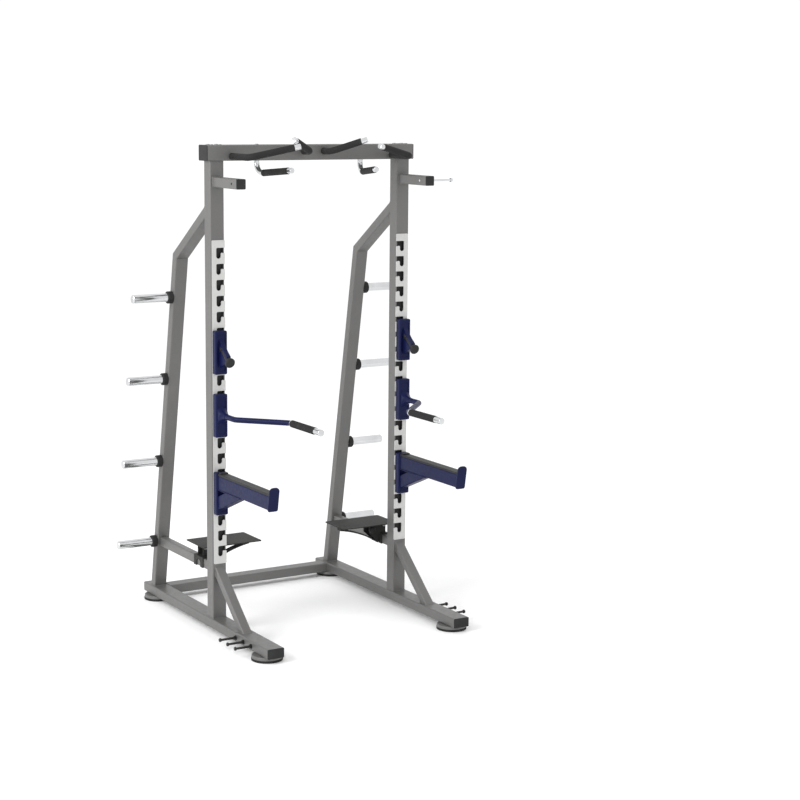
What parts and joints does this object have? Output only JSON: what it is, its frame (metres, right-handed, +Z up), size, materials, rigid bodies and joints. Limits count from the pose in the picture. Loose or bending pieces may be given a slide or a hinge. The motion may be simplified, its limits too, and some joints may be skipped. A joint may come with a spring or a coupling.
{
  "type": "half rack",
  "caption": "Steel half rack for barbell training with slotted uprights, lift-off bar hooks, dip handles, safety arms, fold-up spotter platforms and plate storage.",
  "frame": {"origin": "on the floor, in the middle of the rack's width and of its depth with the dip handles hung", "axes": "+Z up, -Y towards the lifter at the front, +X to the rack's right"},
  "size_m": [1.59, 1.569, 2.5244],
  "materials": {
    "silver_paint": "satin silver grey",
    "wear_plate_steel": "brushed",
    "black_plastic": "matte",
    "black_rubber": "matte",
    "chrome_plate": "polished",
    "zinc_steel": "zinc plated",
    "dark_steel": "oiled",
    "navy_paint": "satin navy blue",
    "graphite_paint": "fine textured"
  },
  "bodies": {
    "frame": {"accessory_arms": "silver_paint", "accessory_pin": "chrome_plate", "band_pegs": "dark_steel", "base_rail_left": "silver_paint", "base_rail_right": "silver_paint", "beam_bolts": "zinc_steel", "close_pull_up_tubes": "chrome_plate", "foot_cups": "silver_paint", "foot_pads": "black_rubber", "front_braces": "silver_paint", "horn_collars": "black_rubber", "neutral_pull_up_tubes": "chrome_plate", "plate_horns": "chrome_plate", "platform_hinge_pins": "zinc_steel", "platform_saddles": "graphite_paint", "post_top_legs": "silver_paint", "pull_up_grips": "black_rubber", "pull_up_tube_plugs": "chrome_plate", "rear_crossmember": "silver_paint", "rear_post_left": "silver_paint", "rear_post_right": "silver_paint", "side_rails": "silver_paint", "top_beam": "silver_paint", "tube_end_caps": "black_plastic", "upright_left": "silver_paint", "upright_right": "silver_paint", "upright_top_plates": "silver_paint", "wear_plate_left": "wear_plate_steel", "wear_plate_right": "wear_plate_steel", "wide_pull_up_tubes": "chrome_plate"},
    "bar_hook_left": {"hook_block_left": "navy_paint", "hook_peg_left": "chrome_plate", "hook_knob_left": "black_plastic"},
    "dip_handle_left": {"dip_block_left": "navy_paint", "dip_tube_left": "navy_paint", "dip_grip_left": "black_rubber", "dip_cap_left": "chrome_plate"},
    "safety_arm_left": {"safety_block_left": "navy_paint", "safety_arm_left": "navy_paint", "safety_end_plate_left": "navy_paint", "safety_strip_left": "black_plastic", "safety_brace_left": "navy_paint"},
    "platform_left": {"platform_tread_left": "graphite_paint", "platform_strut_left": "graphite_paint"},
    "platform_lock_left": {"platform_lock_knob_left": "black_plastic"},
    "bar_hook_right": {"hook_block_right": "navy_paint", "hook_peg_right": "chrome_plate", "hook_knob_right": "black_plastic"},
    "dip_handle_right": {"dip_block_right": "navy_paint", "dip_tube_right": "navy_paint", "dip_grip_right": "black_rubber", "dip_cap_right": "chrome_plate"},
    "safety_arm_right": {"safety_block_right": "navy_paint", "safety_arm_right": "navy_paint", "safety_end_plate_right": "navy_paint", "safety_strip_right": "black_plastic", "safety_brace_right": "navy_paint"},
    "platform_right": {"platform_tread_right": "graphite_paint", "platform_strut_right": "graphite_paint"},
    "platform_lock_right": {"platform_lock_knob_right": "black_plastic"}
  },
  "joints": [
    {"name": "bar_hook_left_lift", "type": "slide", "parent": "frame", "child": "bar_hook_left", "axis": [0, 0, 1], "range_m": [0, 0.028]},
    {"name": "dip_handle_left_lift", "type": "slide", "parent": "frame", "child": "dip_handle_left", "axis": [0, 0, 1], "range_m": [0, 0.028]},
    {"name": "safety_arm_left_lift", "type": "slide", "parent": "frame", "child": "safety_arm_left", "axis": [0, 0, 1], "range_m": [0, 0.028]},
    {"name": "platform_left_fold", "type": "hinge", "parent": "frame", "child": "platform_left", "pos_m": [-0.539, 0.1275, 0.412], "axis": [0, -1, 0], "range_deg": [0, 90]},
    {"name": "platform_lock_left_pull", "type": "slide", "parent": "frame", "child": "platform_lock_left", "axis": [0, -1, 0], "range_m": [0, 0.008]},
    {"name": "bar_hook_right_lift", "type": "slide", "parent": "frame", "child": "bar_hook_right", "axis": [0, 0, 1], "range_m": [0, 0.028]},
    {"name": "dip_handle_right_lift", "type": "slide", "parent": "frame", "child": "dip_handle_right", "axis": [0, 0, 1], "range_m": [0, 0.028]},
    {"name": "safety_arm_right_lift", "type": "slide", "parent": "frame", "child": "safety_arm_right", "axis": [0, 0, 1], "range_m": [0, 0.028]},
    {"name": "platform_right_fold", "type": "hinge", "parent": "frame", "child": "platform_right", "pos_m": [0.539, 0.1275, 0.412], "axis": [0, 1, 0], "range_deg": [0, 90]},
    {"name": "platform_lock_right_pull", "type": "slide", "parent": "frame", "child": "platform_lock_right", "axis": [0, -1, 0], "range_m": [0, 0.008]}
  ]
}
